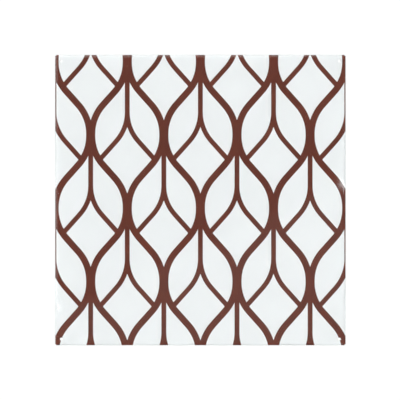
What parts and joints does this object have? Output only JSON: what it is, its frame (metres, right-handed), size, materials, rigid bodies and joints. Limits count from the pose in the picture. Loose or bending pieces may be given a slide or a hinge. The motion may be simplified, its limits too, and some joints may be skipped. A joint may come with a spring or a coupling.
{
  "type": "self-adhesive glass tile",
  "caption": "Square glass wall tile with a rounded polished front edge, small corner holes, a brown ogee lattice printed behind the glass and a peel-off self-adhesive back.",
  "frame": {"origin": "middle of the tile's footprint, on the floor it lies on", "axes": "+Z out of the printed front, +Y towards the top of the print as the picture shows it, +X to its right"},
  "size_m": [0.3, 0.3, 0.0052],
  "materials": {
    "liner_paper": "smooth siliconised paper",
    "adhesive": "tacky acrylic foam",
    "ground_ink": "pale opaque ink",
    "lattice_ink": "brown opaque ink",
    "clear_glass": "clear polished glass"
  },
  "bodies": {
    "root": {"release_liner": "liner_paper", "adhesive_sheet": "adhesive", "ground_print": "ground_ink", "lattice_print": "lattice_ink", "glass_pane": "clear_glass"}
  },
  "joints": []
}
